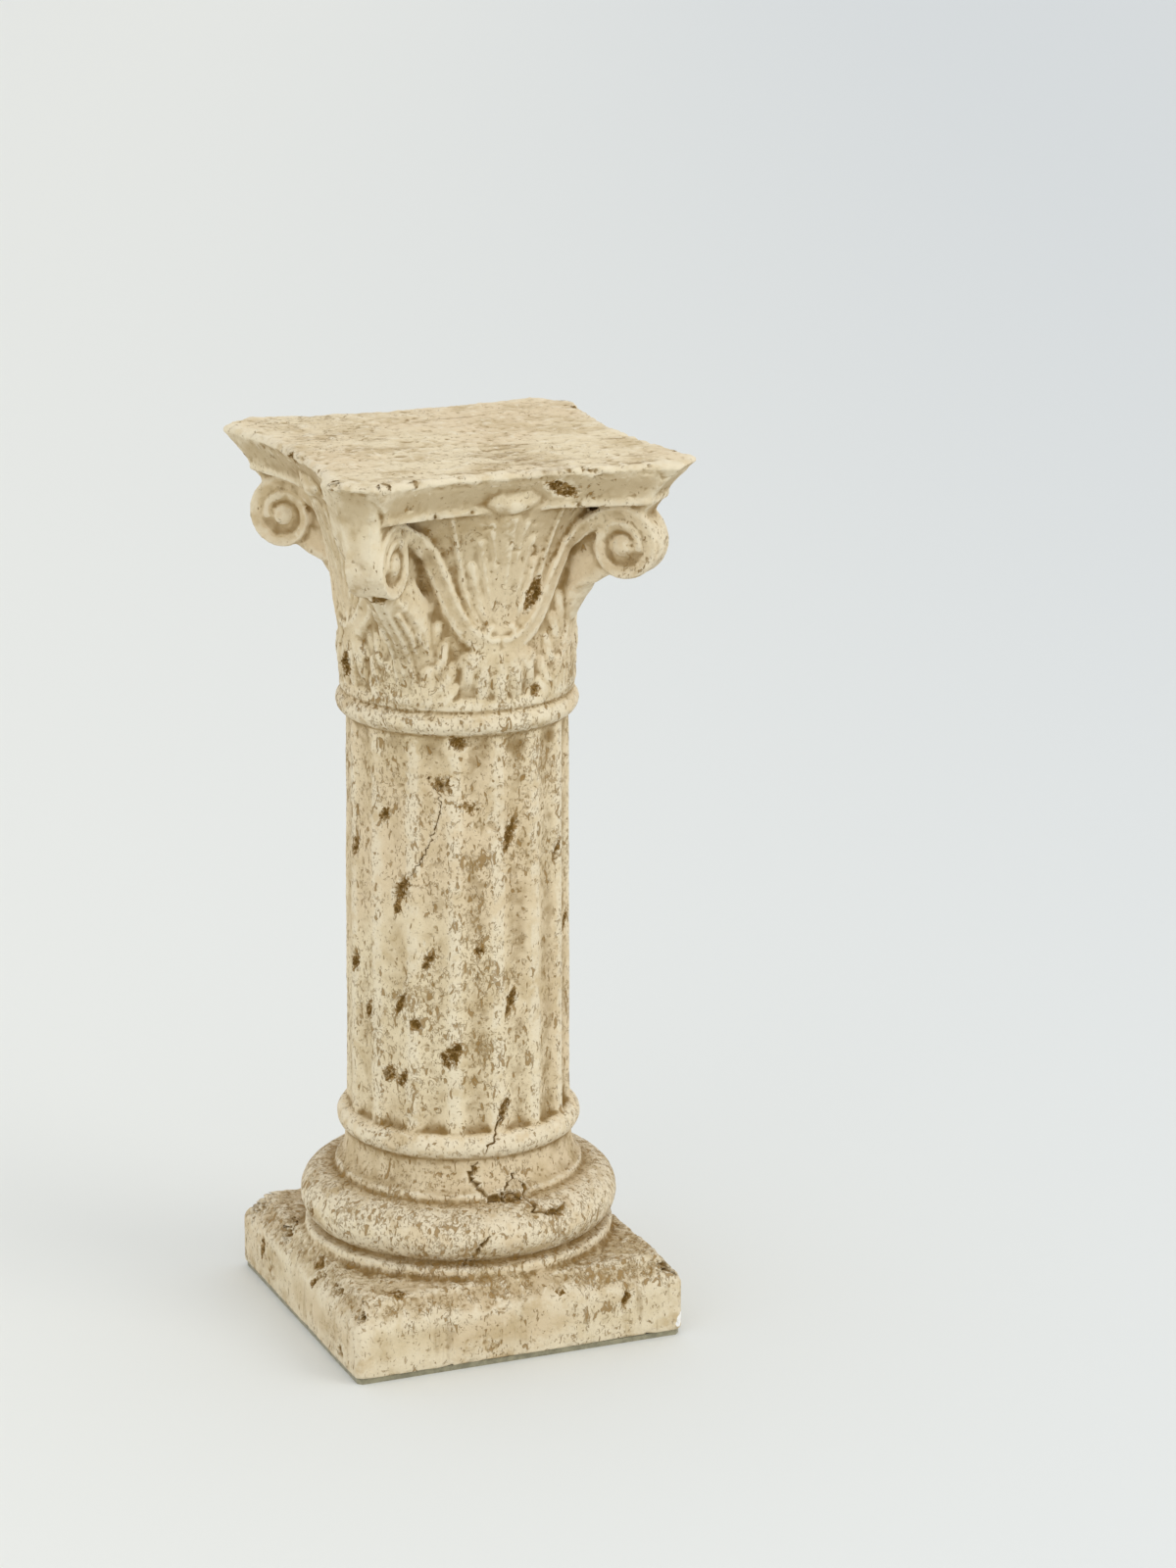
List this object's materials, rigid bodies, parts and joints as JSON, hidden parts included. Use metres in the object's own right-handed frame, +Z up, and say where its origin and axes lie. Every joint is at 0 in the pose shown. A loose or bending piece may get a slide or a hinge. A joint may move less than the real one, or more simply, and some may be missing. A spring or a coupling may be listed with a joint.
{
  "type": "corinthian pedestal column",
  "caption": "Small cast pedestal column: square plinth, moulded round base, fluted shaft and leafy scrolled capital under a flat square top with hollowed sides.",
  "frame": {"origin": "centre of the underside, where the felt pad meets the floor", "axes": "+Z up along the column's axis; the plinth's and abacus' sides face along X and Y; the pictured front is the -Y side"},
  "size_m": [0.189, 0.189, 0.45],
  "materials": {
    "aged_plaster": "matte, pale cream with a brown wash in the hollows and dark pits",
    "felt": "matte grey green felt"
  },
  "bodies": {
    "root": {"column": "aged_plaster", "felt_pad": "felt"}
  },
  "joints": []
}
